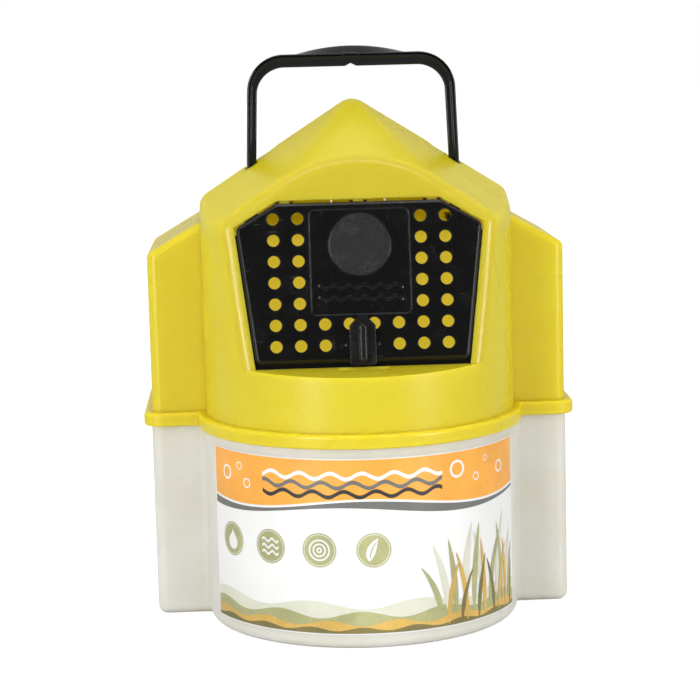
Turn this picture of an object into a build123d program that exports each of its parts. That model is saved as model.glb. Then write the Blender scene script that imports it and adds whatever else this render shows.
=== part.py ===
from build123d import *
from math import cos, hypot, pi, radians, sin, sqrt, tan
import os

# Flow-through bait bucket, in millimetres. X to the right, Y to the back, Z up, base on Z = 0.
os.makedirs("parts", exist_ok=True)

# Hull plan: a half-round bulge in front of a rounded box whose ends are the side wings
body_width = 240.0
bulge_radius = 89.0
wing_depth = 100.0
wing_corner_radius = 6.0
plan_crease_radius = 4.0

# Tub
tub_wall = 2.0
tub_floor = 2.6
tub_bottom_radius = 5.0
base_recess_depth = 1.2
base_recess_margin = 14.0

# Rim joint: the tub's lip snaps into a groove in the cover's bead
seat_z = 117.0
lip_out = 1.8
lip_height = 1.8
rim_fit = 0.15
bead_drop = 5.4
bead_height = 8.0
bead_out = 4.3
bead_edge_radius = 1.5
bead_ledge_radius = 2.0

# Hood: a gabled roof over the bulge, lower sloping tops over the wings
cover_wall = 2.2
hood_inset = 0.6
roof_slope = 32.5
ridge_y = 5.0
ridge_height = 181.0
ridge_apex_radius = 10.5
front_drop = 18.0
front_apex_radius = 90.0
front_section_y = -49.0
back_drop = 14.0
back_apex_radius = 40.0
shoulder_radius = 9.0
back_edge_radius = 4.0
wing_slope = 30.0
wing_height = 93.5
wing_edge_radius = 4.0

# Door front: a leaning face and a sill cut across the bulge
lean = 9.85
sill_height = 34.8
face_setback = 27.9
sill_fall = 4.0
cheek_radius = 8.0

# Door outline in the leaning plane: heights run up from the sill edge
door_bottom = 2.9
door_corner = 77.6
door_top = 90.7
door_bottom_half = 58.5
door_corner_half = 67.7
door_top_half = 45.3
door_corner_radius = 4.0
door_bevel = 1.4
door_proud = 1.8
door_skin = 2.0
skirt_wall = 1.8
door_gap = 0.9
door_top_gap = 1.6
flange_out = 1.6
flange_top = 74.0
flange_thickness = 1.6
flange_gap = 0.3

# Door face: round flow holes around a plain panel with a plain disc
hole_diameter = 6.6
hole_pitch_across = 13.49
hole_pitch_up = 11.65
hole_rows = 7
bottom_row = 12.1
panel_half = 27.4
panel_bottom = 28.8
panel_top = 86.5
panel_radius = 3.0
panel_recess = 0.5
disc_height = 67.2
disc_radius = 17.0
disc_rise = 0.4

# Hinge: a rod through three lugs of the cover and three pairs of door ears
hinge_height = 89.5
hinge_depth = 4.6
hinge_pitch = 40.6
rod_diameter = 2.4
rod_press_fit = 0.01
rod_running_fit = 0.08
ear_radius = 2.6
ear_thickness = 2.0
lug_width = 5.2
lug_side_fit = 0.3
lug_root = 97.0
lug_root_depth = 1.4
hinge_relief = 3.7
retainer_radius = 2.4
retainer_thickness = 1.0
retainer_fit = 0.3
rod_end = 0.4

# Torsion springs on the rod, bearing on the cover above and on door ribs below
spring_wire = 0.9
spring_fit = 0.05
spring_turns = 5
spring_pitch = 1.6
spring_centre = 18.7
spring_leg = 8.0
spring_rib_length = 16.0
spring_rib_width = 2.4

# Turn latch on the door and its catch in the sill
latch_half_width = 7.2
latch_tip = 17.8
latch_shoulder = 10.5
latch_heel = 11.3
latch_thickness = 2.4
latch_gap = 0.7
latch_corner_radius = 1.6
fin_top = 11.0
fin_bottom = 9.4
fin_width = 3.8
fin_height = 5.5
hub_radius = 4.0
hub_fit = 0.1
neck_radius = 2.8
neck_tail = 0.6
clip_radius = 6.0
clip_thickness = 1.2
clip_gap = 0.3
pip_offset = 8.7
pip_radius = 1.0
pip_height = 0.45
catch_side_room = 1.2
catch_depth_room = 2.0
catch_gap = 1.3
catch_room = 3.6
catch_wall = 1.8

# Handle: a bail that slides through two guides under the ridge
handle_half_width = 60.9
handle_rise = 21.6
handle_corner_radius = 21.0
handle_leg_width = 6.2
handle_bar_height = 10.8
handle_inner_radius = 13.0
handle_depth = 12.0
handle_rib = 2.6
handle_web = 5.6
crown_half = 30.0
crown_rise = 6.2
crown_depth = 7.0
crown_front = 1.0
notch_half = 3.0
notch_depth = 2.6
slot_half = 4.0
slot_depth = 2.0
handle_travel = 18.0
guide_fit = 0.35
guide_wall = 2.0
guide_length = 14.2
rest_gap = 0.3
dish_radius = 16.0
dish_depth = 2.5
foot_height = 4.0
foot_out = 2.2
foot_floor = 1.0
foot_fit = 0.02
tenon_inset = 0.9

# Label: a thin film on the front of the bulge
label_thickness = 0.25
label_gap = 0.05
label_bottom = 8.5
label_top_gap = 5.6
label_half_angle = 69.0

# Derived places
hull_y = (bulge_radius - wing_depth) / 2
hull_mid_y = hull_y + wing_depth / 2
back_y = hull_y + wing_depth
bead_bottom = seat_z - bead_drop
sill_z = seat_z + sill_height
wing_eave_z = seat_z + wing_height
ridge_apex = seat_z + ridge_height
front_apex = ridge_apex - front_drop
back_apex = ridge_apex - back_drop
slope = tan(radians(roof_slope))
hood_top = ridge_apex + ridge_apex_radius
face_y = hull_y - bulge_radius + face_setback
face = Plane(origin=(0, face_y, sill_z), x_dir=(1, 0, 0),
             z_dir=(0, -cos(radians(lean)), sin(radians(lean))))
across = Plane(origin=face.origin, x_dir=face.y_dir, z_dir=(1, 0, 0))
face_out = Axis(face.origin, face.z_dir)
hinge = (hinge_height, -hinge_depth)
door_back = -(cover_wall + flange_gap + flange_thickness)
skin_back = door_proud - door_skin
latch_back = door_proud + latch_gap
rod_radius = rod_diameter / 2
ear_reach = hinge_pitch + lug_width / 2 + lug_side_fit + ear_thickness
rod_half = ear_reach + retainer_fit + retainer_thickness + rod_end
leg_x = handle_half_width - handle_leg_width / 2
leg_roof_z = ridge_apex - slope * leg_x
guide_z = leg_roof_z - guide_length
handle_top = ridge_apex + handle_rise
foot_z = guide_z - handle_travel - rest_gap - foot_height
spring_rib_x = spring_centre + spring_turns * spring_pitch / 2
spring_rib_height = skin_back + cover_wall
bail_plane = Plane.XZ.offset(-ridge_y)


def hull_plan(grow):
    """Outline of the tub seen from above, grown by an even margin."""
    corner_radius = max(wing_corner_radius + grow, wing_corner_radius / 2)
    with BuildSketch() as plan:
        with Locations((0, hull_y)):
            Circle(bulge_radius + grow)
        with Locations((0, hull_mid_y)):
            RectangleRounded(body_width + 2 * grow, wing_depth + 2 * grow, corner_radius)
        front = hull_y - grow
        creases = plan.vertices().filter_by(
            lambda v: abs(v.Y - front) < 0.01 and abs(v.X) < bulge_radius + grow + 0.01)
        fillet(creases, plan_crease_radius - grow / 2)
    return plan.sketch


def gable_section(y, apex, radius, inset):
    """Upright roof section at Y = y: two slopes joined by an apex arc."""
    lower = apex - inset / cos(radians(roof_slope))
    arc = radius - inset
    half = body_width
    centre_z = lower - arc / cos(radians(roof_slope))
    crest_x = arc * sin(radians(roof_slope))
    crest_z = centre_z + arc * cos(radians(roof_slope))
    eave = (half, lower - half * slope)
    with BuildSketch(Plane.XZ.offset(-y)) as section:
        with BuildLine():
            Polyline((-crest_x, crest_z), (-half, eave[1]), (-half, 0), (half, 0), eave,
                     (crest_x, crest_z))
            ThreePointArc((-crest_x, crest_z), (0, centre_z + arc), (crest_x, crest_z))
        make_face()
    return section.sketch


def gable_roof(inset):
    """Volume under the roof: one loft forward and one back from the ridge section."""
    run = ridge_y - front_section_y
    front = gable_section(ridge_y - 2 * run, 2 * front_apex - ridge_apex,
                          2 * front_apex_radius - ridge_apex_radius, inset)
    ridge = gable_section(ridge_y, ridge_apex, ridge_apex_radius, inset)
    back = gable_section(back_y, back_apex, back_apex_radius, inset)
    with BuildPart() as roof:
        loft([front, ridge], ruled=True)
        loft([ridge, back], ruled=True)
    return roof.part


def central_hood(inset):
    """Body over the bulge, under the gabled roof, inside an even inset."""
    radius = bulge_radius - hood_inset - inset
    with BuildPart() as body:
        with BuildSketch(Plane.XY.offset(seat_z)):
            with Locations((0, hull_y)):
                Circle(radius)
                Rectangle(2 * radius, wing_depth - hood_inset - inset, align=(Align.CENTER, Align.MIN))
        extrude(amount=hood_top - seat_z)
        add(gable_roof(inset), mode=Mode.INTERSECT)
        ridge = body.edges().filter_by(
            lambda e: abs(e.center().Y - ridge_y) < 0.01 and e.bounding_box().size.Y < 0.01)
        eaves = body.edges().filter_by(
            lambda e: e.bounding_box().min.Z > seat_z + 1 and e.geom_type == GeomType.BSPLINE
            and abs(e.center().X) > 0.8 * radius)
        fillet(ridge + eaves, shoulder_radius - inset)
        rear = back_y - hood_inset - inset
        gable = body.edges().filter_by(
            lambda e: e.bounding_box().min.Y > rear - 0.05 and e.bounding_box().min.Z > seat_z + 1
            and e.geom_type != GeomType.LINE)
        fillet(gable, back_edge_radius - inset / 2)
    return body.part


def wing_hood(inset):
    """Wings under their sloping tops, inside an even inset."""
    half = body_width / 2 - hood_inset - inset
    fall = tan(radians(wing_slope))
    eave = wing_eave_z - inset * (1 / cos(radians(wing_slope)) - fall)
    with BuildPart() as wings:
        with BuildSketch(Plane.XZ.offset(-hull_y - hood_inset - inset)):
            Polygon((-half, seat_z), (half, seat_z), (half, eave), (0, eave + half * fall), (-half, eave),
                    align=None)
        extrude(amount=-(wing_depth - 2 * (hood_inset + inset)))
        uprights = wings.edges().filter_by(Axis.Z)
        fillet(uprights, wing_corner_radius - hood_inset - inset)
        tops = wings.edges().filter_by(
            lambda e: e.bounding_box().max.Z > eave - 0.01 and e.bounding_box().min.Z > eave - 1
            and abs(e.center().X) > 1)
        fillet(tops, wing_edge_radius - inset / 2)
    return wings.part


def door_recess(inset):
    """Space in front of the leaning face and over the sill, shifted into the wall by the inset."""
    tilt = radians(lean + sill_fall)
    corner = (-inset * (1 - sin(tilt)) / cos(tilt), -inset)
    reach = 2 * bulge_radius
    with BuildPart() as recess:
        with BuildSketch(across):
            Polygon(corner, (corner[0] - reach * sin(tilt), corner[1] + reach * cos(tilt)),
                    (2 * reach, reach), (2 * reach, -inset), align=None)
        extrude(amount=bulge_radius, both=True)
    return recess.part


def hood_solid(inset):
    """Whole hood inside an even inset of its walls."""
    with BuildPart() as hood:
        add(central_hood(inset))
        add(wing_hood(inset))
        add(door_recess(inset), mode=Mode.SUBTRACT)
        cheeks = hood.edges().filter_by(
            lambda e: e.geom_type == GeomType.ELLIPSE and e.bounding_box().size.Z > 40)
        fillet(cheeks, cheek_radius - inset / 2)
    return hood.part


def door_outline(side, top, bottom):
    """Six-sided door outline grown by a margin at its sides, top and bottom."""
    side_lean = (door_corner_half - door_bottom_half) / (door_corner - door_bottom)
    corner_lean = (door_corner_half - door_top_half) / (door_top - door_corner)
    side_out = side * hypot(1, side_lean)
    corner_out = side * hypot(1, corner_lean)
    corner = door_corner + (corner_out - side_out) / (side_lean + corner_lean)
    low_half = door_bottom_half + side_out - side_lean * bottom
    corner_half = door_bottom_half + side_out + side_lean * (corner - door_bottom)
    top_half = door_top_half + corner_out - corner_lean * top
    right = [(low_half, door_bottom - bottom), (corner_half, corner), (top_half, door_top + top)]
    left = [(-x, height) for x, height in reversed(right)]
    return Polygon(*right, *left, align=None, mode=Mode.PRIVATE)


def rod_disc(radius, start, length):
    """Round bar on the hinge axis, from X = start."""
    with BuildPart() as bar:
        with BuildSketch(across.offset(start)):
            with Locations(hinge):
                Circle(radius)
        extrude(amount=length)
    return bar.part


def bail_outline(inset):
    """Filled outline of the bail, shrunk evenly, down to the ends of its legs."""
    half = handle_half_width - inset
    length = handle_top - inset - foot_z - foot_floor
    with BuildSketch(bail_plane) as outline:
        with Locations((0, handle_top - inset)):
            Rectangle(2 * half, length, align=(Align.CENTER, Align.MAX))
        fillet(outline.vertices().group_by(Axis.Y)[-1], handle_corner_radius - inset)
    return outline.sketch


def bail_opening():
    """Space between the legs and under the bar."""
    half = handle_half_width - handle_leg_width
    with BuildSketch(bail_plane) as opening:
        with Locations((0, handle_top - handle_bar_height)):
            Rectangle(2 * half, handle_top - foot_z, align=(Align.CENTER, Align.MAX))
        fillet(opening.vertices().group_by(Axis.Y)[-1], handle_inner_radius)
    return opening.sketch


# Lower tub, with a shallow recess in its base and a lip around its mouth
with BuildPart() as tub_hollow:
    with BuildSketch(Plane.XY.offset(tub_floor)):
        add(hull_plan(-tub_wall))
    extrude(amount=seat_z)
    fillet(tub_hollow.faces().sort_by(Axis.Z)[0].edges(), tub_bottom_radius - tub_wall)

with BuildPart() as lower_tub:
    with BuildSketch():
        add(hull_plan(0))
    extrude(amount=seat_z)
    fillet(lower_tub.faces().sort_by(Axis.Z)[0].edges(), tub_bottom_radius)
    with BuildSketch(Plane.XY.offset(seat_z - lip_height)):
        add(hull_plan(lip_out))
    extrude(amount=lip_height)
    add(tub_hollow.part, mode=Mode.SUBTRACT)
    with BuildSketch():
        add(hull_plan(-base_recess_margin))
    extrude(amount=base_recess_depth, mode=Mode.SUBTRACT)
lower_tub.part.label = "lower_tub"
export_step(lower_tub.part, "parts/lower_tub.step")

# Upper cover: the hollow hood with its bead, door opening, catch, guides and hinge lugs
hood = hood_solid(0)
hollow = hood_solid(cover_wall)

with BuildPart() as bead:
    with BuildSketch(Plane.XY.offset(bead_bottom)):
        add(hull_plan(bead_out))
    extrude(amount=bead_height)
    fillet(bead.faces().sort_by(Axis.Z)[-1].edges(), bead_ledge_radius)
    fillet(bead.faces().sort_by(Axis.Z)[0].edges(), bead_edge_radius)
    with BuildSketch(Plane.XY.offset(bead_bottom)):
        add(hull_plan(rim_fit))
    extrude(amount=seat_z - bead_bottom, mode=Mode.SUBTRACT)
    with BuildSketch(Plane.XY.offset(seat_z)):
        add(hull_plan(-hood_inset - cover_wall))
    extrude(amount=bead_height, mode=Mode.SUBTRACT)
    with BuildSketch(Plane.XY.offset(seat_z - lip_height - rim_fit)):
        add(hull_plan(lip_out + rim_fit))
    extrude(amount=lip_height + rim_fit, mode=Mode.SUBTRACT)

catch_back = latch_back - catch_gap
catch_front = latch_back + latch_thickness + catch_room
catch_bottom = bottom_row - latch_tip - catch_depth_room
catch_half = sqrt(latch_tip ** 2 - bottom_row ** 2) + catch_side_room
with BuildPart() as catch:
    with BuildSketch(face.offset(catch_back - catch_wall)):
        with Locations((0, catch_bottom - catch_wall)):
            Rectangle(2 * (catch_half + catch_wall), catch_wall - catch_bottom,
                      align=(Align.CENTER, Align.MIN))
    extrude(amount=catch_front - catch_back + 2 * catch_wall)
    add(hood, mode=Mode.INTERSECT)

guide_across = handle_leg_width + 2 * guide_fit
guide_deep = handle_depth + 2 * guide_fit
with BuildPart() as guides:
    with BuildSketch(Plane.XY.offset(guide_z)):
        with Locations((-leg_x, ridge_y), (leg_x, ridge_y)):
            RectangleRounded(guide_across + 2 * guide_wall, guide_deep + 2 * guide_wall, guide_wall)
    extrude(amount=hood_top - guide_z)
    add(hood, mode=Mode.INTERSECT)

with BuildPart() as upper_cover:
    add(hood)
    add(hollow, mode=Mode.SUBTRACT)
    add(bead.part)
    add(catch.part)
    add(guides.part)
    with BuildSketch(face.offset(catch_back)):
        with Locations((0, catch_bottom)):
            Rectangle(2 * catch_half, catch_front - catch_bottom, align=(Align.CENTER, Align.MIN))
    extrude(amount=catch_front - catch_back, mode=Mode.SUBTRACT)
    # Door opening, down to the sill edge
    with BuildSketch(face.offset(door_proud)):
        add(door_outline(door_gap, door_top_gap, door_bottom))
    extrude(amount=-(door_proud + cover_wall + door_gap), mode=Mode.SUBTRACT)
    # Guide bores, each in a shallow dish
    with BuildSketch(Plane.XY.offset(guide_z)):
        with Locations((-leg_x, ridge_y), (leg_x, ridge_y)):
            Rectangle(guide_across, guide_deep)
    extrude(amount=hood_top - guide_z, mode=Mode.SUBTRACT)
    dish_z = leg_roof_z - dish_depth + dish_radius / cos(radians(roof_slope))
    with Locations((-leg_x, ridge_y, dish_z), (leg_x, ridge_y, dish_z)):
        Sphere(dish_radius, mode=Mode.SUBTRACT)
    # Hinge lugs, hanging from the wall over the opening
    lug_head = door_top + door_top_gap + door_gap
    for lug_x in (-hinge_pitch, 0, hinge_pitch):
        with BuildSketch(across.offset(lug_x - lug_width / 2)):
            with Locations(hinge):
                Circle(ear_radius)
            Polygon((lug_head, -lug_root_depth), (lug_root, -lug_root_depth), (lug_root, -hinge_depth),
                    align=None)
            make_hull()
        extrude(amount=lug_width)
    add(rod_disc(rod_radius + rod_press_fit, -rod_half, 2 * rod_half), mode=Mode.SUBTRACT)
upper_cover.part.label = "upper_cover"
export_step(upper_cover.part, "parts/upper_cover.step")

# Hinge rod and the retainers pushed on its ends
with BuildPart() as hinge_rod:
    add(rod_disc(rod_radius, -rod_half, 2 * rod_half))
    chamfer(hinge_rod.edges(), rod_end / 2)
hinge_rod.part.label = "hinge_rod"
export_step(hinge_rod.part, "parts/hinge_rod.step")

for side, side_name in ((-1, "left"), (1, "right")):
    inner_x = side * (ear_reach + retainer_fit)
    with BuildPart() as retainer:
        add(rod_disc(retainer_radius, inner_x, side * retainer_thickness))
        add(rod_disc(rod_radius + rod_press_fit, -rod_half, 2 * rod_half), mode=Mode.SUBTRACT)
    retainer.part.label = "rod_retainer_" + side_name
    export_step(retainer.part, "parts/rod_retainer_" + side_name + ".step")

# Door springs: one unbroken wire each, from a leg on the cover through the coil to a leg on the door
coil_radius = hinge_depth - cover_wall - spring_wire / 2 - spring_fit
coil_length = spring_turns * spring_pitch


def coil_point(side, turn):
    """Point on the coil after a number of turns, starting at the front and heading down."""
    angle = 2 * pi * turn
    height = hinge_height - coil_radius * sin(angle)
    depth = -hinge_depth + coil_radius * cos(angle)
    along = side * (spring_centre - coil_length / 2 + spring_pitch * turn)
    return across.from_local_coords(Vector(height, depth, along))


for side, side_name in ((-1, "left"), (1, "right")):
    quarter_points = [coil_point(side, turn / 4) for turn in range(4 * spring_turns + 1)]
    with BuildPart() as spring:
        with BuildLine() as wire:
            leg = Line(quarter_points[0] + face.y_dir * spring_leg, quarter_points[0])
            for near, far in zip(quarter_points, quarter_points[1:]):
                leg = TangentArc(near, far, tangent=leg % 1)
            Line(quarter_points[-1], quarter_points[-1] + (leg % 1) * spring_leg)
        with BuildSketch(Plane(origin=wire.wire() @ 0, z_dir=wire.wire() % 0)):
            Circle(spring_wire / 2)
        sweep(path=wire.wire())
    spring.part.label = "door_spring_" + side_name
    export_step(spring.part, "parts/door_spring_" + side_name + ".step")
    samples = [coil_point(side, turn / 48) for turn in range(48 * spring_turns + 1)]
    pairs = [(a, b) for a in range(len(samples)) for b in range(a + 24, len(samples))]
    least = min((samples[a] - samples[b]).length for a, b in pairs) - spring_wire
    print("door spring", side_name, "least gap between turns", round(least, 2))

# Door: a bevelled front skin on a skirt, with a stop flange behind the opening
hole_places = []
for row in range(hole_rows):
    for column in (-3.5, -2.5, -1.5, -0.5, 0.5, 1.5, 2.5, 3.5):
        beside_panel = abs(column) > 2
        under_panel = row == 1 or (row == 0 and abs(column) > 1)
        if beside_panel or under_panel:
            hole_places.append((column * hole_pitch_across, bottom_row + row * hole_pitch_up))

with BuildPart() as door:
    with BuildSketch(face.offset(door_back)) as plate:
        add(door_outline(0, 0, 0))
        fillet(plate.vertices(), door_corner_radius)
    extrude(amount=door_proud - door_back)
    chamfer(door.faces().filter_by(face).sort_by(face_out)[-1].edges(), door_bevel)
    with BuildSketch(face.offset(door_back)):
        add(door_outline(-skirt_wall, -skirt_wall, -skirt_wall))
    extrude(amount=skin_back - door_back, mode=Mode.SUBTRACT)
    with BuildSketch(face.offset(door_back)) as flange:
        add(door_outline(door_gap + flange_out, 0, door_bottom + flange_out))
        add(door_outline(-skirt_wall, -skirt_wall, -skirt_wall), mode=Mode.SUBTRACT)
        with Locations((0, flange_top)):
            Rectangle(2 * bulge_radius, hood_top, align=(Align.CENTER, Align.MIN), mode=Mode.SUBTRACT)
    extrude(amount=flange_thickness)
    # Ribs behind the skin, one under each spring leg
    with BuildSketch(face.offset(skin_back)):
        with Locations((-spring_rib_x, hinge_height), (spring_rib_x, hinge_height)):
            Rectangle(spring_rib_width, spring_rib_length, align=(Align.CENTER, Align.MAX))
    extrude(amount=-spring_rib_height)
    add(rod_disc(hinge_relief, -bulge_radius, 2 * bulge_radius), mode=Mode.SUBTRACT)
    # Ears on both sides of each lug
    ear_inner = lug_width / 2 + lug_side_fit
    for lug_x in (-hinge_pitch, 0, hinge_pitch):
        for ear_x in (lug_x - ear_inner - ear_thickness, lug_x + ear_inner):
            with BuildSketch(across.offset(ear_x)):
                with Locations(hinge):
                    Circle(ear_radius)
                Polygon((hinge_height - ear_radius, -hinge_depth), (hinge_height - ear_radius, skin_back),
                        (door_top - door_bevel, skin_back), (door_top - door_bevel, -hinge_depth), align=None)
            extrude(amount=ear_thickness)
    add(rod_disc(rod_radius + rod_running_fit, -rod_half, 2 * rod_half), mode=Mode.SUBTRACT)
    # Sunk panel around a low disc
    panel_mid = (panel_bottom + panel_top) / 2
    with BuildSketch(face.offset(door_proud)):
        with Locations((0, panel_mid)):
            RectangleRounded(2 * panel_half, panel_top - panel_bottom, panel_radius)
    extrude(amount=-panel_recess, mode=Mode.SUBTRACT)
    with BuildSketch(face.offset(door_proud - panel_recess)):
        with Locations((0, disc_height)):
            Circle(disc_radius)
    extrude(amount=disc_rise)
    # Flow holes and the bore for the latch hub
    with BuildSketch(face.offset(door_proud)):
        with Locations(*hole_places):
            Circle(hole_diameter / 2)
        with Locations((0, bottom_row)):
            Circle(hub_radius + hub_fit)
    extrude(amount=-door_skin, mode=Mode.SUBTRACT)
    # Pips beside the latch
    pip_sink = pip_radius - pip_height
    with Locations(*[face.from_local_coords(Vector(x, bottom_row, door_proud - pip_sink))
                     for x in (-pip_offset, pip_offset)]):
        Sphere(pip_radius)
door.part.label = "door"
export_step(door.part, "parts/door.step")

# Turn latch: a pointed plate with a finger fin and a hub through the door
pivot = face.from_local_coords(Vector(0, bottom_row, latch_back))
latch_plane = Plane(origin=pivot, x_dir=face.x_dir, z_dir=face.z_dir)
clip_front = skin_back - latch_back - clip_gap
neck_end = clip_front - clip_thickness - neck_tail
with BuildPart() as turn_latch:
    with BuildSketch(latch_plane) as pointer:
        Polygon((-latch_half_width, -latch_heel), (latch_half_width, -latch_heel),
                (latch_half_width, latch_shoulder), (0, latch_tip), (-latch_half_width, latch_shoulder),
                align=None)
        fillet(pointer.vertices(), latch_corner_radius)
    extrude(amount=latch_thickness)
    with BuildSketch(latch_plane.offset(latch_thickness)):
        with Locations((0, (fin_top - fin_bottom) / 2)):
            SlotOverall(fin_top + fin_bottom, fin_width, rotation=90)
    extrude(amount=fin_height)
    fillet(turn_latch.faces().filter_by(face).sort_by(face_out)[-1].edges(), fin_width / 4)
    with BuildSketch(latch_plane):
        Circle(hub_radius)
    extrude(amount=clip_front)
    with BuildSketch(latch_plane.offset(clip_front)):
        Circle(neck_radius)
    extrude(amount=neck_end - clip_front)
turn_latch.part.label = "turn_latch"
export_step(turn_latch.part, "parts/turn_latch.step")

with BuildPart() as latch_clip:
    with BuildSketch(latch_plane.offset(clip_front)):
        Circle(clip_radius)
        Circle(neck_radius + rod_press_fit, mode=Mode.SUBTRACT)
    extrude(amount=-clip_thickness)
latch_clip.part.label = "latch_clip"
export_step(latch_clip.part, "parts/latch_clip.step")

# Handle: a web under an outer rib, a crown behind the grip and a notch below its middle
with BuildPart() as carry_handle:
    with BuildSketch(bail_plane):
        add(bail_outline(0))
        add(bail_opening(), mode=Mode.SUBTRACT)
    extrude(amount=handle_web / 2, both=True)
    with BuildSketch(bail_plane):
        add(bail_outline(0))
        add(bail_outline(handle_rib), mode=Mode.SUBTRACT)
    extrude(amount=handle_depth / 2, both=True)
    with BuildSketch(bail_plane.offset(-crown_front)):
        with BuildLine():
            ThreePointArc((-crown_half, handle_top), (0, handle_top + crown_rise), (crown_half, handle_top))
            Polyline((crown_half, handle_top), (crown_half, handle_top - handle_rib),
                     (-crown_half, handle_top - handle_rib), (-crown_half, handle_top))
        make_face()
    extrude(amount=-crown_depth)
    bar_bottom = handle_top - handle_bar_height
    with BuildSketch(bail_plane):
        Polygon((-notch_half, bar_bottom), (0, bar_bottom + notch_depth), (notch_half, bar_bottom),
                align=None)
    extrude(amount=handle_depth, both=True, mode=Mode.SUBTRACT)
    with Locations((0, ridge_y - handle_depth / 2, handle_top)):
        Box(2 * slot_half, 2 * slot_depth, 2 * handle_rib, mode=Mode.SUBTRACT)
carry_handle.part.label = "carry_handle"
export_step(carry_handle.part, "parts/carry_handle.step")

# Feet pushed on the ends of the handle's legs
for side, side_name in ((-1, "left"), (1, "right")):
    with BuildPart() as foot:
        with BuildSketch(Plane.XY.offset(foot_z)):
            with Locations((side * leg_x, ridge_y)):
                RectangleRounded(handle_leg_width + 2 * foot_out, handle_depth + 2 * foot_out, foot_out)
        extrude(amount=foot_height)
        chamfer(foot.faces().sort_by(Axis.Z)[0].edges(), foot_floor)
        with BuildSketch(Plane.XY.offset(foot_z + foot_floor)):
            with Locations((side * leg_x, ridge_y)):
                Rectangle(handle_leg_width + 2 * foot_fit, handle_depth + 2 * foot_fit)
        extrude(amount=foot_height, mode=Mode.SUBTRACT)
    foot.part.label = "handle_foot_" + side_name
    export_step(foot.part, "parts/handle_foot_" + side_name + ".step")

# Label wrapped around the front of the bulge
inner_radius = bulge_radius + label_gap
outer_radius = inner_radius + label_thickness
arc_start = -90 - label_half_angle
with BuildPart() as front_label:
    with BuildSketch(Plane.XY.offset(label_bottom)):
        with BuildLine():
            outer_arc = CenterArc((0, hull_y), outer_radius, arc_start, 2 * label_half_angle)
            inner_arc = CenterArc((0, hull_y), inner_radius, arc_start, 2 * label_half_angle)
            Line(outer_arc @ 0, inner_arc @ 0)
            Line(outer_arc @ 1, inner_arc @ 1)
        make_face()
    extrude(amount=bead_bottom - label_top_gap - label_bottom)
front_label.part.label = "front_label"
export_step(front_label.part, "parts/front_label.step")
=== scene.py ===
"""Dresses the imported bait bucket: white studio, camera, the finishes of its moulded, metal and printed
pieces, the slim bail, the door's springs and the print on the label. Lengths are metres unless a comment or
a docstring says millimetres."""
from math import cos, radians, sin

import bpy
import numpy as np
from mathutils import Matrix, Vector


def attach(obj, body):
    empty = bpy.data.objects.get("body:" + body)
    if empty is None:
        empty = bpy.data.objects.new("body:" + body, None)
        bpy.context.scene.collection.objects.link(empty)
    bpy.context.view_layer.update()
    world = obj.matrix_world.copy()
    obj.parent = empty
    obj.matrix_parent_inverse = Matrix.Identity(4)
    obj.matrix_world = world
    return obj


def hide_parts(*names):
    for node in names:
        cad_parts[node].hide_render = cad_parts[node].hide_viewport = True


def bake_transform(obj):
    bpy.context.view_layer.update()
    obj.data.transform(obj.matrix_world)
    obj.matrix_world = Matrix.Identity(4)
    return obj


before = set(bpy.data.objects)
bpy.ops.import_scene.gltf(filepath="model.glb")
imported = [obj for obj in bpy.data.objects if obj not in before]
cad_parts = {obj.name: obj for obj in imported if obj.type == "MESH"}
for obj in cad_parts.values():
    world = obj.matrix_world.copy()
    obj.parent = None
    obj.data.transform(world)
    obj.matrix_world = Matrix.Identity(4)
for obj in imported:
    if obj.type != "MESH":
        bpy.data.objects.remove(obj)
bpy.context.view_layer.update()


# The leaning face that holds the door, and the door's hinge on it, in millimetres

LEAN = radians(9.85)
FACE_Y = -66.6
SILL_Z = 151.8
HINGE_HEIGHT = 89.5
HINGE_DEPTH = -4.6


def on_face(height, depth):
    """Y and Z of a place from its height up the leaning face and its depth in front of it, in millimetres:
    y = face + height sin(lean) - depth cos(lean), z = sill + height cos(lean) + depth sin(lean)."""
    y = FACE_Y + height * sin(LEAN) - depth * cos(LEAN)
    z = SILL_Z + height * cos(LEAN) + depth * sin(LEAN)
    return y, z


# Studio

def aim(obj, place, target, roll=0.0):
    """Places a lamp or camera and turns its -Z at the target, rolled about its own axis."""
    forward = (Vector(target) - Vector(place)).normalized()
    right = forward.cross(Vector((0, 0, 1))).normalized()
    up = right.cross(forward)
    right, up = right * cos(roll) + up * sin(roll), up * cos(roll) - right * sin(roll)
    turn = Matrix((right, up, -forward)).transposed().to_4x4()
    obj.matrix_world = Matrix.Translation(place) @ turn


def softbox(name, place, target, width, height, watts):
    """White rectangular area lamp that faces the bucket."""
    lamp = bpy.data.lights.new(name, "AREA")
    lamp.shape = "RECTANGLE"
    lamp.size, lamp.size_y = width, height
    lamp.energy = watts
    obj = bpy.data.objects.new(name, lamp)
    bpy.context.scene.collection.objects.link(obj)
    aim(obj, place, target)


def build_camera():
    """Camera fitted to the photograph: 1.25 m in front, 0.335 m up, 8 degrees down, turned a little
    clockwise. Its focal length is 2203 pixels in a frame 700 pixels wide."""
    sensor, focal_pixels, frame_pixels = 36.0, 2203.0, 700.0
    place = Vector((-0.0548, -1.2574, 0.3353))
    looking = Vector((0.03957, 0.98871, -0.14449))
    data = bpy.data.cameras.new("photo_camera")
    data.sensor_width = sensor
    data.lens = sensor * focal_pixels / frame_pixels
    data.clip_start, data.clip_end = 0.05, 20.0
    camera = bpy.data.objects.new("photo_camera", data)
    bpy.context.scene.collection.objects.link(camera)
    aim(camera, place, place + looking, roll=-0.025)
    bpy.context.scene.camera = camera


def feed(tree, socket, value):
    """Links another node's socket, or writes a plain number, vector or colour."""
    if isinstance(value, bpy.types.NodeSocket):
        tree.links.new(value, socket)
    else:
        socket.default_value = value


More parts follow.
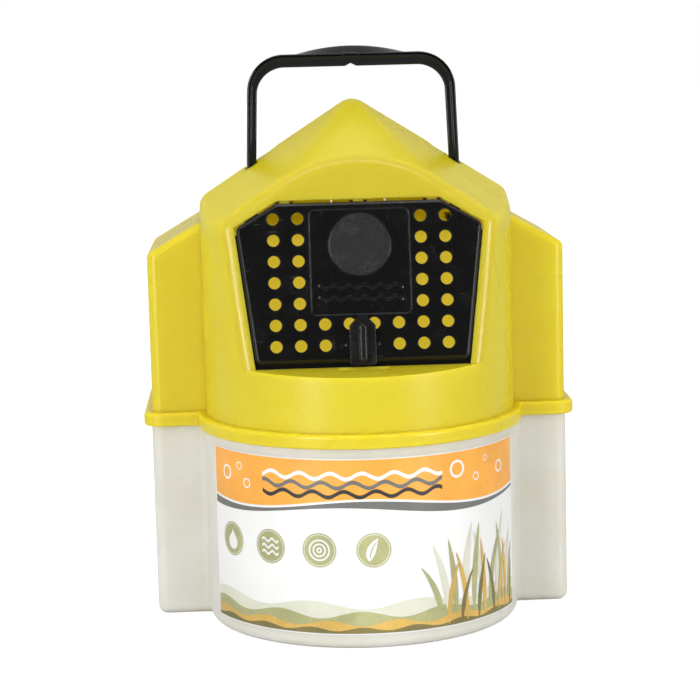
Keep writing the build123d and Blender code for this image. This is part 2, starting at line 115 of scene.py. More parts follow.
def light_path_strength(tree, lighting, mirrored, seen):
    """Strength for lighting, for gloss and clear rays, and for the camera. Each is a number or a socket."""
    path = tree.nodes.new("ShaderNodeLightPath")
    either = tree.nodes.new("ShaderNodeMath")
    either.operation = "MAXIMUM"
    tree.links.new(path.outputs["Is Glossy Ray"], either.inputs[0])
    tree.links.new(path.outputs["Is Transmission Ray"], either.inputs[1])
    strength = lighting
    for chosen, value in ((either.outputs[0], mirrored), (path.outputs["Is Camera Ray"], seen)):
        blend = tree.nodes.new("ShaderNodeMapRange")
        feed(tree, blend.inputs["Value"], chosen)
        feed(tree, blend.inputs["To Min"], strength)
        feed(tree, blend.inputs["To Max"], value)
        strength = blend.outputs["Result"]
    return strength


def build_world():
    """White studio: the backdrop is white in gloss too, and the room in front of the bucket is dim."""
    world = bpy.data.worlds.new("studio")
    bpy.context.scene.world = world
    world.use_nodes = True
    tree = world.node_tree
    back = tree.nodes["Background"]
    back.inputs["Color"].default_value = (1.0, 1.0, 1.0, 1.0)
    direction = tree.nodes.new("ShaderNodeSeparateXYZ")
    tree.links.new(tree.nodes.new("ShaderNodeTexCoord").outputs["Generated"], direction.inputs[0])

    def towards_backdrop(start, end, front, behind):
        """Strength that goes from its front value to the one behind as a ray's Y goes from start to end."""
        made = tree.nodes.new("ShaderNodeMapRange")
        made.interpolation_type = "SMOOTHSTEP"
        feed(tree, made.inputs["Value"], direction.outputs["Y"])
        limits = (("From Min", start), ("From Max", end), ("To Min", front), ("To Max", behind))
        for socket, amount in limits:
            made.inputs[socket].default_value = amount
        return made.outputs["Result"]

    lighting = towards_backdrop(-0.3, 0.3, front=0.52, behind=0.80)
    mirrored = towards_backdrop(-0.75, 0.15, front=0.04, behind=0.5)
    feed(tree, back.inputs["Strength"], light_path_strength(tree, lighting, mirrored, seen=1.0))


def floor_paper():
    """Pale matte paper; its own light only fills what the camera sees, so the bucket's shadow stays."""
    paper = bpy.data.materials.new("floor_paper")
    paper.use_nodes = True
    tree = paper.node_tree
    tree.nodes.clear()
    out = tree.nodes.new("ShaderNodeOutputMaterial")
    matte = tree.nodes.new("ShaderNodeBsdfDiffuse")
    matte.inputs["Color"].default_value = (0.62, 0.62, 0.62, 1)
    glow = tree.nodes.new("ShaderNodeEmission")
    feed(tree, glow.inputs["Strength"], light_path_strength(tree, lighting=0.0, mirrored=0.05, seen=0.72))
    both = tree.nodes.new("ShaderNodeAddShader")
    tree.links.new(matte.outputs[0], both.inputs[0])
    tree.links.new(glow.outputs[0], both.inputs[1])
    tree.links.new(both.outputs[0], out.inputs["Surface"])
    return paper


def new_piece(name, points, faces, materials):
    """Object at the origin whose mesh has the given points, faces and materials."""
    mesh = bpy.data.meshes.new(name)
    mesh.from_pydata(points.tolist(), [], faces)
    for material in materials:
        mesh.materials.append(material)
    mesh.update()
    obj = bpy.data.objects.new(name, mesh)
    bpy.context.scene.collection.objects.link(obj)
    return obj


def build_floor():
    """Round floor: a ring of points at (r cos a, r sin a, 0) and one face."""
    sides, radius = 96, 9.0
    ring = np.linspace(0, 2 * np.pi, sides + 1)[:-1]
    rim = np.stack([radius * np.cos(ring), radius * np.sin(ring), np.zeros_like(ring)], axis=1)
    new_piece("floor", rim, [list(range(sides))], [floor_paper()])


build_camera()
build_world()
build_floor()
softbox("key_softbox", (-1.05, -1.45, 0.45), (0.0, 0.0, 0.15), width=0.45, height=0.9, watts=14.5)
softbox("fill_softbox", (1.30, -1.30, 0.35), (0.0, 0.0, 0.15), width=0.45, height=0.9, watts=13.2)
softbox("top_softbox", (0.0, 0.25, 1.45), (0.0, 0.0, 0.2), width=1.0, height=0.6, watts=1.5)
softbox("front_softbox", (0.0, -0.80, 1.35), (0.0, 0.0, 0.2), width=1.2, height=0.30, watts=4.5)


# Finishes

class Finish:
    """A material's node tree with short words for its parts; patterns read Object coordinates in metres."""

    def __init__(self, name):
        self.material = bpy.data.materials.new(name)
        self.material.use_nodes = True
        self.tree = self.material.node_tree
        self.shader = self.tree.nodes["Principled BSDF"]
        self.place = self.tree.nodes.new("ShaderNodeTexCoord").outputs["Object"]

    def node(self, kind, **inputs):
        """New node with its inputs by name, where an underline stands for a space."""
        made = self.tree.nodes.new(kind)
        for key, value in inputs.items():
            feed(self.tree, made.inputs[key.replace("_", " ")], value)
        return made

    def set(self, **inputs):
        """Inputs of the material's own shader, named in the same way."""
        for key, value in inputs.items():
            feed(self.tree, self.shader.inputs[key.replace("_", " ")], value)

    def axes(self):
        """The three Object coordinates."""
        return self.node("ShaderNodeSeparateXYZ", Vector=self.place).outputs

    def up_face(self, y, z):
        """Height up the leaning face: z cos(lean) + y sin(lean), less its value at the sill."""
        sill = (SILL_Z * cos(LEAN) + FACE_Y * sin(LEAN)) / 1000
        upright, level = self.maths("MULTIPLY", z, cos(LEAN)), self.maths("MULTIPLY", y, sin(LEAN))
        return self.maths("SUBTRACT", self.maths("ADD", upright, level), sill)

    def out_of_face(self, y, z):
        """Depth in front of the leaning face: z sin(lean) - y cos(lean), less its value at the sill."""
        sill = (SILL_Z * sin(LEAN) - FACE_Y * cos(LEAN)) / 1000
        upright, level = self.maths("MULTIPLY", z, sin(LEAN)), self.maths("MULTIPLY", y, cos(LEAN))
        return self.maths("SUBTRACT", self.maths("SUBTRACT", upright, level), sill)

    def stretched(self, across, deep, high, turn=(0, 0, 0)):
        """Object coordinates multiplied along each axis, for scratches and drawn marks."""
        return self.node("ShaderNodeMapping", Vector=self.place, Scale=(across, deep, high),
                         Rotation=turn).outputs["Vector"]

    def cloud(self, per_metre, detail=3.0, rough=0.5, place=None):
        """Soft noise of so many patches to the metre."""
        return self.node("ShaderNodeTexNoise", Vector=place or self.place, Scale=per_metre, Detail=detail,
                         Roughness=rough).outputs["Fac"]

    def ramp(self, value, low, high, to_low=0.0, to_high=1.0):
        """Smooth step from one amount to another as the value goes from low to high."""
        made = self.node("ShaderNodeMapRange", Value=value)
        made.interpolation_type = "SMOOTHSTEP"
        limits = (("From Min", low), ("From Max", high), ("To Min", to_low), ("To Max", to_high))
        for socket, amount in limits:
            made.inputs[socket].default_value = amount
        return made.outputs["Result"]

    def window(self, value, start, full_from, full_to, end):
        """1 between the middle two values, falling smoothly to 0 at the outer two."""
        rising = self.ramp(value, start, full_from)
        return self.maths("MULTIPLY", rising, self.ramp(value, full_to, end, 1.0, 0.0))

    def within(self, value, half, fade):
        """1 up to a half width on both sides of zero, falling smoothly to 0 over the fade."""
        return self.window(value, -half - fade, -half, half, half + fade)

    def maths(self, kind, a, b=0.0):
        """Sum, product or other operation on two numbers or sockets."""
        made = self.tree.nodes.new("ShaderNodeMath")
        made.operation = kind
        feed(self.tree, made.inputs[0], a)
        feed(self.tree, made.inputs[1], b)
        return made.outputs[0]

    def tint(self, amount, near, far):
        """Colour between two, by an amount from 0 to 1."""
        made = self.tree.nodes.new("ShaderNodeMix")
        made.data_type = "RGBA"
        feed(self.tree, made.inputs[0], amount)
        for socket, colour in ((made.inputs[6], near), (made.inputs[7], far)):
            feed(self.tree, socket, (*colour, 1.0) if isinstance(colour, tuple) else colour)
        return made.outputs[2]

    def rounded(self, radius):
        """Normal that rolls over sharp edges as a small moulded radius does."""
        bevel = self.node("ShaderNodeBevel", Radius=radius)
        bevel.samples = 4
        return bevel.outputs["Normal"]

    def edge(self, radius):
        """How far the surface turns within a radius: 0 on flats, towards 1 on edges."""
        dot = self.tree.nodes.new("ShaderNodeVectorMath")
        dot.operation = "DOT_PRODUCT"
        flat = self.tree.nodes.new("ShaderNodeNewGeometry").outputs["Normal"]
        feed(self.tree, dot.inputs[0], self.rounded(radius))
        feed(self.tree, dot.inputs[1], flat)
        least_turn, most_turn = 0.01, 0.12
        return self.ramp(self.maths("SUBTRACT", 1.0, dot.outputs["Value"]), least_turn, most_turn)

    def relief(self, height, strength, depth, normal=None):
        """Bump from a height, on top of another normal where there is one."""
        made = self.node("ShaderNodeBump", Height=height, Strength=strength, Distance=depth)
        if normal is not None:
            feed(self.tree, made.inputs["Normal"], normal)
        return made.outputs["Normal"]


def cover_plastic():
    """Yellow moulded plastic: milky depth, faint clouding and a soft gloss that varies slowly. Painted shade
    darkens the leaning face to a deeper yellow. The inner side of the back wall, seen through the door's
    holes, glows a little with painted light that stands for daylight coming through the wall."""
    f = Finish("cover_plastic")
    x, y, z = f.axes()
    # This mask picks out the leaning face, whose colour is darkened below as painted shade.
    face = f.maths("MULTIPLY", f.within(x, half=0.086, fade=0.006), f.ramp(z, 0.1500, 0.1530))
    face = f.maths("MULTIPLY", face, f.window(f.out_of_face(y, z), -0.0045, -0.0005, 0.0010, 0.0060))
    clouds = f.ramp(f.cloud(14, 4, 0.55), 0.3, 0.7)
    base = f.tint(clouds, (0.790, 0.585, 0.013), (0.815, 0.610, 0.020))
    # Painted shade: the leaning face is tinted to this darker yellow.
    base = f.tint(face, base, (0.600, 0.475, 0.028))
    f.set(Base_Color=base, Roughness=f.ramp(f.cloud(18, 1, 0.5), 0.3, 0.7, 0.26, 0.32))
    f.set(Subsurface_Weight=0.9, Subsurface_Scale=0.010, Subsurface_Radius=(1.0, 0.85, 0.30), IOR=1.46)
    # Painted light: the inner side of the back wall glows, standing for daylight through the wall. These
    # masks pick it out.
    inner = f.maths("MULTIPLY", f.within(x, half=0.095, fade=0.015), f.window(z, 0.112, 0.125, 0.205, 0.222))
    inner = f.maths("MULTIPLY", inner, f.window(y, 0.0895, 0.0910, 0.0926, 0.0927))
    # Painted glow in this yellow on the inner side of the back wall.
    f.set(Emission_Color=(0.31, 0.25, 0.025, 1.0), Emission_Strength=inner)
    return f.material


def tub_plastic():
    """Milky polyethylene: waxy depth, cloudy wall, fine vertical flow lines and light scuffs."""
    f = Finish("tub_plastic")
    clouds = f.cloud(22, 5, 0.6)
    flow = f.cloud(60, 3, 0.5, f.stretched(1, 1, 0.12))
    base = f.tint(f.ramp(clouds, 0.3, 0.7), (0.700, 0.680, 0.590), (0.750, 0.740, 0.672))
    base = f.tint(f.maths("MULTIPLY", f.ramp(flow, 0.55, 0.72), 0.25), base, (0.63, 0.60, 0.49))
    scuff = f.ramp(f.cloud(240, 4, 0.7, f.stretched(1, 1, 5)), 0.62, 0.75)
    normal = f.relief(flow, 0.16, 0.0012, f.rounded(0.001))
    normal = f.relief(f.cloud(500, 3, 0.6), 0.10, 0.0002, normal)
    dull = f.maths("ADD", f.ramp(clouds, 0.2, 0.8, 0.36, 0.46), f.maths("MULTIPLY", scuff, 0.15))
    f.set(Base_Color=base, Roughness=dull, Normal=normal, IOR=1.45)
    f.set(Subsurface_Weight=0.8, Subsurface_Scale=0.005, Subsurface_Radius=(1.0, 0.95, 0.75))
    return f.material


def black_plastic(name, gloss, scuffing, grain, shade=0.0075, corner=0.0009, figure=None, ior=1.50):
    """Black moulded plastic: dust and scuffs dull it in patches and its edges are rubbed grey. Gloss is the
    roughness where it is clean, grain the moulded texture per metre, shade its colour and corner the radius
    of its edges. A figure adds a relief and a shade of its own: it gives both amounts from the finish."""
    f = Finish(name)
    patches = f.ramp(f.cloud(70, 5, 0.65), 0.45, 0.75)
    dust = f.ramp(f.cloud(1500, 2, 0.5), 0.66, 0.74)
    long_marks = f.ramp(f.cloud(90, 2, 0.4, f.stretched(1.0, 1.0, 14, (0.0, 0.6, 0.3))), 0.67, 0.72)
    cross_marks = f.ramp(f.cloud(80, 2, 0.4, f.stretched(12, 1.0, 1.2, (0.0, -0.5, 0.2))), 0.69, 0.73)
    marks = f.maths("MULTIPLY", f.maths("MAXIMUM", long_marks, cross_marks), patches)
    worn = f.maths("MULTIPLY", f.edge(0.0009), f.ramp(f.cloud(120, 4, 0.6), 0.35, 0.6, 0.25, 1.0))
    base = f.tint(patches, (shade,) * 3, (shade * 1.5,) * 3)
    base = f.tint(f.maths("MULTIPLY", marks, 0.7 * scuffing), base, (0.065, 0.065, 0.065))
    base = f.tint(f.maths("MULTIPLY", worn, 0.16 * scuffing), base, (0.13, 0.13, 0.13))
    base = f.tint(f.maths("MULTIPLY", dust, 0.12 * scuffing), base, (0.16, 0.16, 0.15))
    dull = f.maths("ADD", f.ramp(patches, 0.0, 1.0, gloss, gloss + 0.10), f.maths("MULTIPLY", marks, 0.15))
    normal = f.relief(f.cloud(grain, 3, 0.55), 0.06, 0.0002, f.rounded(corner))
    if figure is not None:
        height, rough = figure(f)
        normal = f.relief(height, 0.8, 0.0005, normal)
        base = f.tint(f.maths("MULTIPLY", rough, 0.8), base, (0.017, 0.017, 0.017))
        dull = f.maths("ADD", dull, f.maths("MULTIPLY", rough, 0.12))
    f.set(Base_Color=base, Roughness=dull, Normal=normal, IOR=ior)
    return f.material


def door_figure(f):
    """Relief and shade of the door's face: a spark-eroded disc, where sqrt(x^2 + (height - centre)^2) is
    under its radius, and below it two plain wave ribs along height = level + swing sin(2 pi x / wave)."""
    centre, radius, wave, swing = 0.0672, 0.0165, 0.0085, 0.0010
    x, y, z = f.axes()
    height = f.up_face(y, z)
    rise = f.maths("SUBTRACT", height, centre)
    reach = f.maths("SQRT", f.maths("ADD", f.maths("MULTIPLY", x, x), f.maths("MULTIPLY", rise, rise)))
    disc = f.ramp(reach, radius, radius + 0.0004, 1.0, 0.0)
    grains = f.maths("MULTIPLY", disc, f.cloud(2600, 3, 0.7))
    ribs = 0.0
    for level in (0.0440, 0.0375):
        line = f.maths("MULTIPLY", f.maths("SINE", f.maths("MULTIPLY", x, 2 * np.pi / wave)), swing)
        away = f.maths("ABSOLUTE", f.maths("SUBTRACT", f.maths("SUBTRACT", height, level), line))
        ribs = f.maths("ADD", f.ramp(away, 0.0004, 0.0009, 1.0, 0.0), ribs)
    ribs = f.maths("MULTIPLY", ribs, f.within(x, half=0.0225, fade=0.0010))
    relief = f.maths("ADD", f.maths("MULTIPLY", grains, 0.35), f.maths("MULTIPLY", ribs, 0.9))
    return relief, f.maths("MULTIPLY", disc, f.ramp(f.cloud(1900, 2, 0.6), 0.35, 0.65, 0.45, 1.0))


def drawn_steel(name, shade, ring_axis):
    """Bright steel with fine drawn or turned lines along one axis and a little tarnish."""
    f = Finish(name)
    stretch = [60.0, 60.0, 60.0]
    stretch[ring_axis] = 900.0
    lines = f.cloud(4, 3, 0.6, f.stretched(*stretch))
    tarnish = f.ramp(f.cloud(260, 4, 0.6), 0.45, 0.7)
    brown = (shade * 0.62, shade * 0.55, shade * 0.46)
    base = f.tint(f.maths("MULTIPLY", tarnish, 0.5), (shade,) * 3, brown)
    f.set(Base_Color=base, Metallic=1.0, Roughness=f.ramp(lines, 0.3, 0.7, 0.22, 0.40))
    f.set(Normal=f.relief(lines, 0.15, 0.0001))
    return f.material


def film_surface(f, base, dullest):
    """Gloss of the label's film with faint creases, under a base colour."""
    f.set(Base_Color=base, Roughness=f.ramp(f.cloud(120, 3), 0.3, 0.7, 0.30, dullest), IOR=1.47)
    f.set(Normal=f.relief(f.cloud(55, 4, 0.5, f.stretched(1, 1, 0.35)), 0.18, 0.0008))
    return f.material


def label_film():
    """White printed film that has yellowed slightly."""
    f = Finish("label_film")
    base = f.tint(f.ramp(f.cloud(16, 4, 0.55), 0.3, 0.7), (0.83, 0.835, 0.83), (0.885, 0.885, 0.87))
    return film_surface(f, base, dullest=0.38)


def printing_ink(name, colour, spread=0.10):
    """Ink on the film: a fine halftone grain and a slow change of strength."""
    f = Finish(name)
    light = tuple(min(1.0, c * (1 + spread) + 0.01) for c in colour)
    dark = tuple(c * (1 - spread) for c in colour)
    slow = f.ramp(f.cloud(35, 4, 0.6), 0.3, 0.7)
    fine = f.ramp(f.cloud(1400, 2, 0.5), 0.35, 0.65)
    strength = f.maths("ADD", f.maths("MULTIPLY", slow, 0.7), f.maths("MULTIPLY", fine, 0.3))
    return film_surface(f, f.tint(strength, dark, light), dullest=0.40)


def dress(node, material):
    """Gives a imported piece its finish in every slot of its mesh."""
    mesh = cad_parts[node].data
    if not mesh.materials:
        mesh.materials.append(material)
    for index in range(len(mesh.materials)):
        mesh.materials[index] = material


handle_finish = black_plastic("handle_plastic", gloss=0.07, scuffing=0.2, grain=260, shade=0.0020,
                              corner=0.0003, ior=1.42)
foot_finish = black_plastic("foot_plastic", gloss=0.40, scuffing=0.4, grain=420)
retainer_finish = drawn_steel("retainer_steel", 0.55, ring_axis=1)
spring_finish = drawn_steel("spring_steel", 0.62, ring_axis=1)
finish_of_node = {
    "upper_cover": cover_plastic(),
    "lower_tub": tub_plastic(),
    "front_label": label_film(),
    "door": black_plastic("door_plastic", gloss=0.12, scuffing=0.8, grain=300, shade=0.0050, corner=0.0010,
                          figure=door_figure),
    "turn_latch": black_plastic("latch_plastic", gloss=0.26, scuffing=1.0, grain=420),
    "latch_clip": black_plastic("clip_plastic", gloss=0.28, scuffing=0.5, grain=420),
    "carry_handle": handle_finish,
    "handle_foot_left": foot_finish,
    "handle_foot_right": foot_finish,
    "hinge_rod": drawn_steel("rod_steel", 0.70, ring_axis=0),
    "rod_retainer_left": retainer_finish,
    "rod_retainer_right": retainer_finish,
    "door_spring_left": spring_finish,
    "door_spring_right": spring_finish,
}
for node, finish in finish_of_node.items():
    dress(node, finish)


# Swept pieces

def section_corners(*pairs):
    """Corners of a section at every station of a path. Each corner is a pair of numbers or of arrays."""
    values = np.broadcast_arrays(*[value for pair in pairs for value in pair])
    return np.stack([np.stack(pair, axis=1) for pair in zip(values[::2], values[1::2])], axis=1)


def rounded_loop(corners, radius):
    """Closed loops of corners, each turned into a quadratic curve: (1-t)^2 a + 2 t (1-t) c + t^2 b."""
    before = np.roll(corners, 1, axis=1) - corners
    after = np.roll(corners, -1, axis=1) - corners
    radius = np.asarray(radius)[None, :, None]
    start = corners + before / np.linalg.norm(before, axis=2, keepdims=True) * radius
    end = corners + after / np.linalg.norm(after, axis=2, keepdims=True) * radius
    t = np.linspace(0, 1, 5)[None, None, :, None]
    curve = (1 - t) ** 2 * start[:, :, None] + 2 * t * (1 - t) * corners[:, :, None]
    curve = curve + t ** 2 * end[:, :, None]
    return curve.reshape(len(corners), -1, 2)


def skin(loops):
    """Faces of a closed tube through equal loops of points, with both ends capped."""
    rows, columns = loops.shape[:2]
    index = np.arange(rows * columns).reshape(rows, columns)
    following = np.roll(index, -1, axis=1)
    sides = np.stack([index[1:], following[1:], following[:-1], index[:-1]], axis=-1).reshape(-1, 4)
    return sides.tolist() + [index[0].tolist(), index[-1][::-1].tolist()]


def unit(vectors):
    """Vectors divided by their lengths."""
    return vectors / np.linalg.norm(vectors, axis=1, keepdims=True)


def smooth(obj, sharpest):
    """Smooth shading, apart from edges that turn by more than so many degrees."""
    obj.data.shade_smooth()
    obj.data.set_sharp_from_angle(angle=radians(sharpest))


# Bail

def bail_outline(leg_x, bar_z, corner_radius, lean_in):
    """Outer path of the bail from one leg's foot to the other, in millimetres, and half the bar's straight
    length. The legs lean in as x = leg - lean clip((z - 262) / (corner - 262), 0, 1), and quarter circles
    join them to the bar."""
    lean_from = 262.0
    straight, corner_z = leg_x - lean_in - corner_radius, bar_z - corner_radius
    z = np.array([225.7, 240.0, 255.0, lean_from, 268.0, 275.0, 285.0, 295.0])
    legs = np.stack([lean_in * np.clip((z - lean_from) / (corner_z - lean_from), 0, 1) - leg_x, z], axis=1)
    turn = np.linspace(0, np.pi / 2, 25)
    corner_x = -straight - corner_radius * np.cos(turn)
    corner = np.stack([corner_x, corner_z + corner_radius * np.sin(turn)], axis=1)
    bar_x = np.array([-30.0, -20.0, -10.0, -4.2, -4.0, -3.3, -2.2, -1.1])
    bar = np.stack([bar_x, np.full_like(bar_x, bar_z)], axis=1)
    half = np.concatenate([legs, corner, bar])
    return np.concatenate([half, [[0.0, bar_z]], half[::-1] * (-1, 1)]), straight


def bail_bar(bar_z, middle_y):
    """Legs and bar: a T section along the outline, in millimetres. The outer rib is 12 deep and 2.6 thick,
    and the web inside it 5.6 deep. The section is 5.6 wide on the legs and 7.3 on the bar, less a V notch
    1.6 clip(1 - |x| / 3.3, 0, 1) under the middle, where the rib's front steps back to 4.2."""
    rib_half, rib_thick, web_half, stepped_half = 6.0, 2.6, 2.8, 4.2
    leg_width, bar_width, notch_depth, notch_half, step_half = 5.6, 7.3, 1.6, 3.3, 4.1
    path, straight = bail_outline(leg_x=60.6, bar_z=bar_z, corner_radius=21.0, lean_in=1.4)
    x, z = path.T
    on_bar = np.abs(x) <= straight
    notch = notch_depth * np.clip(1 - np.abs(x) / notch_half, 0, 1)
    width = np.where(on_bar, bar_width - notch, np.interp(z, [301, 320], [leg_width, bar_width]))
    front = np.where(on_bar & (np.abs(x) < step_half), stepped_half, rib_half)
    corners = section_corners(
        (0.0, -front), (0.0, rib_half), (rib_thick, rib_half), (rib_thick, web_half),
        (width, web_half), (width, -web_half), (rib_thick, -web_half), (rib_thick, -front))
    section = rounded_loop(corners, (0.9, 0.9, 0.7, 0.6, 0.9, 0.9, 0.6, 0.7))
    tangent = unit(np.gradient(path, axis=0))
    inward = np.stack([tangent[:, 1], -tangent[:, 0]], axis=1)
    place = path[:, None, :] + inward[:, None, :] * section[:, :, :1]
    return np.stack([place[..., 0], middle_y + section[..., 1], place[..., 1]], axis=-1)


def bail_crown(bar_z):
    """Crown over the grip, in millimetres: a wedge lofted across X that rises by 4.4 (1 - (x / 31)^2) from
    the rib's front to the back."""
    half, height, front, ridge, back = 31.0, 4.4, 0.6, 8.8, 13.0
    x = np.linspace(-half, half, 63)
    rise = height * (1 - (x / half) ** 2)
    low, top = bar_z - 2.0, bar_z - 0.05 + rise
    wedge = section_corners(
        (front, low), (front, bar_z - 0.1), (ridge, top), (back, top - 0.08 * rise), (back, low))
    wedge = rounded_loop(wedge, (0.2, 0.6, 1.6, 0.8, 0.3))
    return np.stack([np.broadcast_to(x[:, None], wedge.shape[:2]), wedge[..., 0], wedge[..., 1]], axis=-1)


def build_bail():
    """Slim bail as one piece: its bar and, on top of it, its crown."""
    bar_z = 321.4
    bar, crown = bail_bar(bar_z, middle_y=5.0), bail_crown(bar_z)
    count = bar.shape[0] * bar.shape[1]
    faces = skin(bar) + [[count + corner for corner in face] for face in skin(crown)]
    points = np.concatenate([bar.reshape(-1, 3), crown.reshape(-1, 3)]) / 1000
    obj = new_piece("bail_moulding", points, faces, [handle_finish])
    smooth(obj, sharpest=32)
    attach(obj, "bail")
    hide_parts("carry_handle")


build_bail()


# Door springs

def build_spring(side, side_name):
    """Torsion spring at the door's hinge. In millimetres on the leaning face its wire follows
    x = side (start + pitch n), height = hinge - r sin(2 pi n), depth = hinge + r cos(2 pi n) for n from 0
    to 5, with legs along its two end directions, and a circle is carried along that path."""
    coil_start, pitch, turns, coil_radius, leg, wire_radius = 14.7, 1.6, 5, 1.9, 8.0, 0.45
    n = np.linspace(0, turns, 36 * turns + 1)
    coil = np.stack([side * (coil_start + pitch * n), HINGE_HEIGHT - coil_radius * np.sin(2 * np.pi * n),
                     HINGE_DEPTH + coil_radius * np.cos(2 * np.pi * n)], axis=1)
    cover_leg = coil[0] + np.linspace(leg, 0, 9)[:-1, None] * (0, 1, 0)
    last_way = unit(np.array([[side * pitch, -coil_radius * 2 * np.pi, 0.0]]))
    door_leg = coil[-1] + np.linspace(0, leg, 9)[1:, None] * last_way
    x, height, depth = np.concatenate([cover_leg, coil, door_leg]).T
    path = np.stack([x, *on_face(height, depth)], axis=1)
    tangent = unit(np.gradient(path, axis=0))
    across = unit(np.cross(tangent, (1.0, 0.0, 0.0)))
    beside = np.cross(tangent, across)
    turn = np.linspace(2 * np.pi, 0, 13)[:-1, None]
    circle = np.cos(turn) * across[:, None] + np.sin(turn) * beside[:, None]
    loops = path[:, None] + wire_radius * circle
    obj = new_piece("spring_wire_" + side_name, loops.reshape(-1, 3) / 1000, skin(loops), [spring_finish])
    smooth(obj, sharpest=40)
    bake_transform(obj)
    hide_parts("door_spring_" + side_name)


build_spring(-1, "left")
build_spring(1, "right")


# Label print

LABEL_AXIS_Y = -0.0055
LABEL_RADIUS = 0.0893
INK_LIFT = 0.00004


class Print:
    """One mesh of thin ink patches on the film; places are millimetres along the film and up the tub."""

    def __init__(self, name, inks):
        self.name, self.inks = name, inks
        self.points, self.faces, self.ink_of_face = [], [], []
        self.count = 0

    def patch(self, ink, along, up, layer):
        """Grid of points, rows by columns, wrapped on the film: x = R sin(s / R), y = axis - R cos(s / R)."""
        rows, columns = along.shape
        radius = LABEL_RADIUS + INK_LIFT * layer
        angle = along / 1000 / LABEL_RADIUS
        place = np.stack([radius * np.sin(angle), LABEL_AXIS_Y - radius * np.cos(angle), up / 1000], axis=-1)
        self.points.append(place.reshape(-1, 3))
        first = np.arange(rows - 1)[:, None] * columns + np.arange(columns - 1)[None, :]
        first = self.count + first.ravel()
        self.faces.append(np.stack([first, first + 1, first + columns + 1, first + columns], axis=1))
        self.ink_of_face.append(np.full(len(first), self.inks.index(ink)))
        self.count += rows * columns

    def strip(self, ink, start, end, low, high, layer, steps=96):
        """Band between two curves low(s) and high(s)."""
        s = np.linspace(start, end, steps)
        t = np.linspace(0, 1, 3)[:, None]
        self.patch(ink, np.broadcast_to(s, (3, steps)), low(s) * (1 - t) + high(s) * t, layer)

    def ring(self, ink, s, z, inner, outer, layer):
        """Flat ring or disc by polar grid."""
        turn = np.linspace(0, 2 * np.pi, 49)
        reach = np.linspace(outer, inner, 3)[:, None]
        self.patch(ink, s + reach * np.cos(turn), z + reach * np.sin(turn), layer)

    def blade(self, ink, s, z, length, bend, width, layer):
        """Leaf along a path that leans as t squared, as wide as sin(pi t)^0.7 (1 - 0.35 t)."""
        t = np.linspace(0, 1, 33)
        path_s, path_z = s + bend * t ** 2, z + length * t
        half = 0.5 * width * np.sin(np.pi * t) ** 0.7 * (1 - 0.35 * t)
        slope_s, slope_z = np.gradient(path_s), np.gradient(path_z)
        size = np.hypot(slope_s, slope_z)
        side = np.linspace(1, -1, 3)[:, None]
        self.patch(ink, path_s + side * half * slope_z / size, path_z - side * half * slope_s / size, layer)

    def drop(self, ink, s, z, size, layer):
        """Water drop: a circle that is drawn in and up near its top by exp(-(|a - pi/2| / 0.35)^1.2)."""
        turn = np.linspace(0, 2 * np.pi, 49)
        reach = np.linspace(1, 0, 3)[:, None]
        tip = np.exp(-((np.abs(turn - np.pi / 2)) / 0.35) ** 1.2)
        outline_s = size * np.cos(turn) * (1 - 0.55 * tip)
        outline_z = size * np.sin(turn) * (1 + 0.75 * tip)
        self.patch(ink, s + reach * outline_s, z + reach * outline_z, layer)

    def finish(self, body):
        """Makes the mesh, with one material for each ink, and rides it on a body."""
        inks = [ink_finish[ink] for ink in self.inks]
        obj = new_piece(self.name, np.concatenate(self.points), np.concatenate(self.faces).tolist(), inks)
        obj.data.polygons.foreach_set("material_index", np.concatenate(self.ink_of_face).astype(np.int32))
        obj.data.update()
        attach(obj, body)


def swell(height, rise, length, shift):
    """Wave line: height + rise sin(2 pi (s - shift) / length)."""
    return lambda s: height + rise * np.sin(2 * np.pi * (s - shift) / length)


def level_line(height):
    """Straight line at one height."""
    return lambda s: np.full_like(s, height)


ink_finish = {
    "orange": printing_ink("orange_ink", (0.90, 0.40, 0.055)),
    "grey": printing_ink("grey_ink", (0.155, 0.160, 0.150)),
    "gold": printing_ink("gold_ink", (0.66, 0.42, 0.10), 0.2),
    "olive": printing_ink("olive_ink", (0.20, 0.17, 0.055), 0.3),
    "moss": printing_ink("moss_ink", (0.42, 0.42, 0.20), 0.2),
    "pale": printing_ink("pale_ink", (0.70, 0.71, 0.58), 0.08),
    "white": printing_ink("white_ink", (0.84, 0.84, 0.82), 0.03),
    "dark": printing_ink("dark_ink", (0.030, 0.028, 0.026), 0.2),
}
label = Print("label_print", list(ink_finish))
film_end, film_foot, film_top = 106.5, 9.2, 105.4

# Orange header over a slow wave, with a grey crest and a white line between them
crest = swell(79.4, 3.2, 150, -40)
label.strip("orange", -film_end, film_end, swell(80.5, 3.2, 150, -40), level_line(film_top), 1, 160)
label.strip("white", -film_end, film_end, swell(79.3, 3.2, 150, -40), swell(80.6, 3.2, 150, -40), 2, 160)
label.strip("grey", -film_end, film_end, swell(76.0, 3.0, 150, -52), crest, 1, 160)

# Bubbles in the header: place along the film, place up the tub and radius
for s, z, size in (
        (-92, 93, 4.2), (-80, 98, 2.2), (-74, 89, 2.8), (52, 96, 5.0), (66, 90, 2.4), (74, 99, 1.8),
        (88, 92, 3.6)):
    label.ring("white", s, z, size * 0.72, size, 2)

# Band of tall waves in the header's middle
for level, ink in ((86.5, "dark"), (91.5, "grey"), (96.5, "white")):
    low, high = swell(level - 1.1, 1.6, 17.4, level), swell(level + 1.1, 1.6, 17.4, level)
    label.strip(ink, -62, 42, low, high, 3, 200)

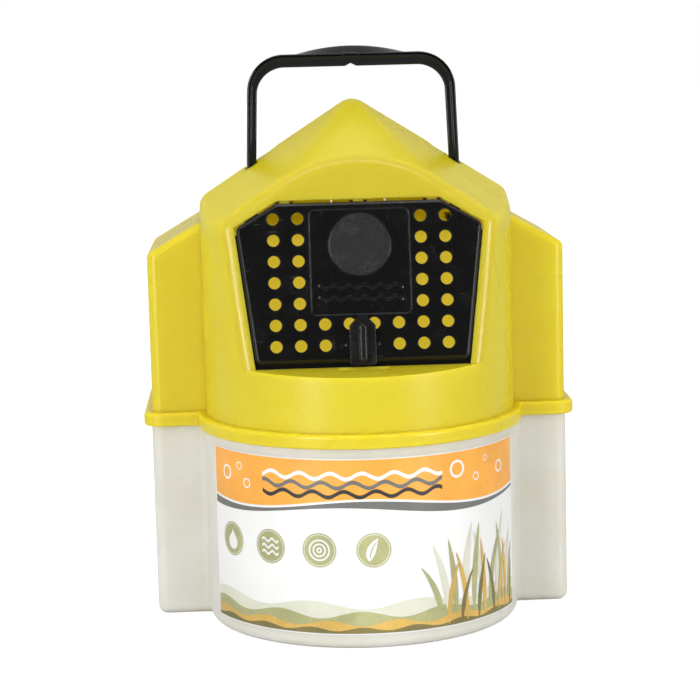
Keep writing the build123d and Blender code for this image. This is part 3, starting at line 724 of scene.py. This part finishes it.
# Four round marks along the field: drop, waves, rings and leaf
mark_z = 55.5
for s, mark in ((-88, "drop"), (-58, "waves"), (-28, "rings"), (2, "leaf")):
    label.ring("moss", s, mark_z, 0.0, 9.6, 1)
    label.ring("pale", s, mark_z, 8.4, 8.9, 2)
    if mark == "drop":
        label.drop("white", s, mark_z - 1.7, 4.2, 2)
    elif mark == "waves":
        for level in (52.0, 55.5, 59.0):
            low, high = swell(level - 0.7, 0.9, 5.6, s), swell(level + 0.7, 0.9, 5.6, s)
            label.strip("white", s - 5.6, s + 5.6, low, high, 2, 48)
    elif mark == "rings":
        for size in (1.6, 3.8, 6.0):
            label.ring("white", s, mark_z, size - 0.9, size, 2)
    else:
        label.blade("white", s - 2.5, 49.5, 12.5, 5.0, 6.0, 2)
        label.blade("moss", s - 2.2, 50.5, 10.5, 4.6, 0.9, 3)

# Low water along the foot of the field: height, rise, length and shift of each wave line
for layer, ink, wave in (
        (1, "pale", (25.0, 2.2, 61, 12)), (2, "moss", (19.5, 2.0, 47, 30)),
        (3, "gold", (14.8, 1.6, 38, 5)), (4, "olive", (11.6, 1.0, 29, 17))):
    label.strip(ink, -film_end, film_end, level_line(film_foot), swell(*wave), layer, 200)

# Reeds on the right, the back ones paler: place, foot, length, bend, width, ink and layer
for s, z, length, bend, width, ink, layer in (
        (44, 18, 38, -9, 5.0, "pale", 5), (56, 18, 47, 6, 5.4, "pale", 5), (70, 18, 42, -7, 5.0, "pale", 5),
        (84, 18, 48, 8, 5.2, "pale", 5), (96, 18, 36, 5, 4.6, "pale", 5),
        (40, 14, 30, -12, 4.2, "moss", 6), (50, 14, 44, -5, 4.6, "moss", 6), (63, 14, 50, 5, 4.8, "moss", 6),
        (77, 14, 42, 10, 4.6, "moss", 6), (90, 14, 47, -6, 4.4, "moss", 6), (99, 14, 32, 5, 4.0, "moss", 6),
        (45, 10, 34, 7, 3.8, "gold", 7), (58, 10, 40, -8, 4.0, "gold", 7), (72, 10, 45, -3, 4.2, "gold", 7),
        (86, 10, 38, 9, 4.0, "gold", 7), (95, 10, 41, -4, 3.6, "gold", 7),
        (54, 9.5, 30, 9, 3.2, "olive", 8), (67, 9.5, 36, 6, 3.4, "olive", 8),
        (81, 9.5, 33, -7, 3.4, "olive", 8), (101, 9.5, 27, 2, 3.0, "olive", 8)):
    label.blade(ink, s, z, length, bend, width, layer)
label.finish("hull")


view = bpy.context.scene.view_settings
view.view_transform = "Standard"
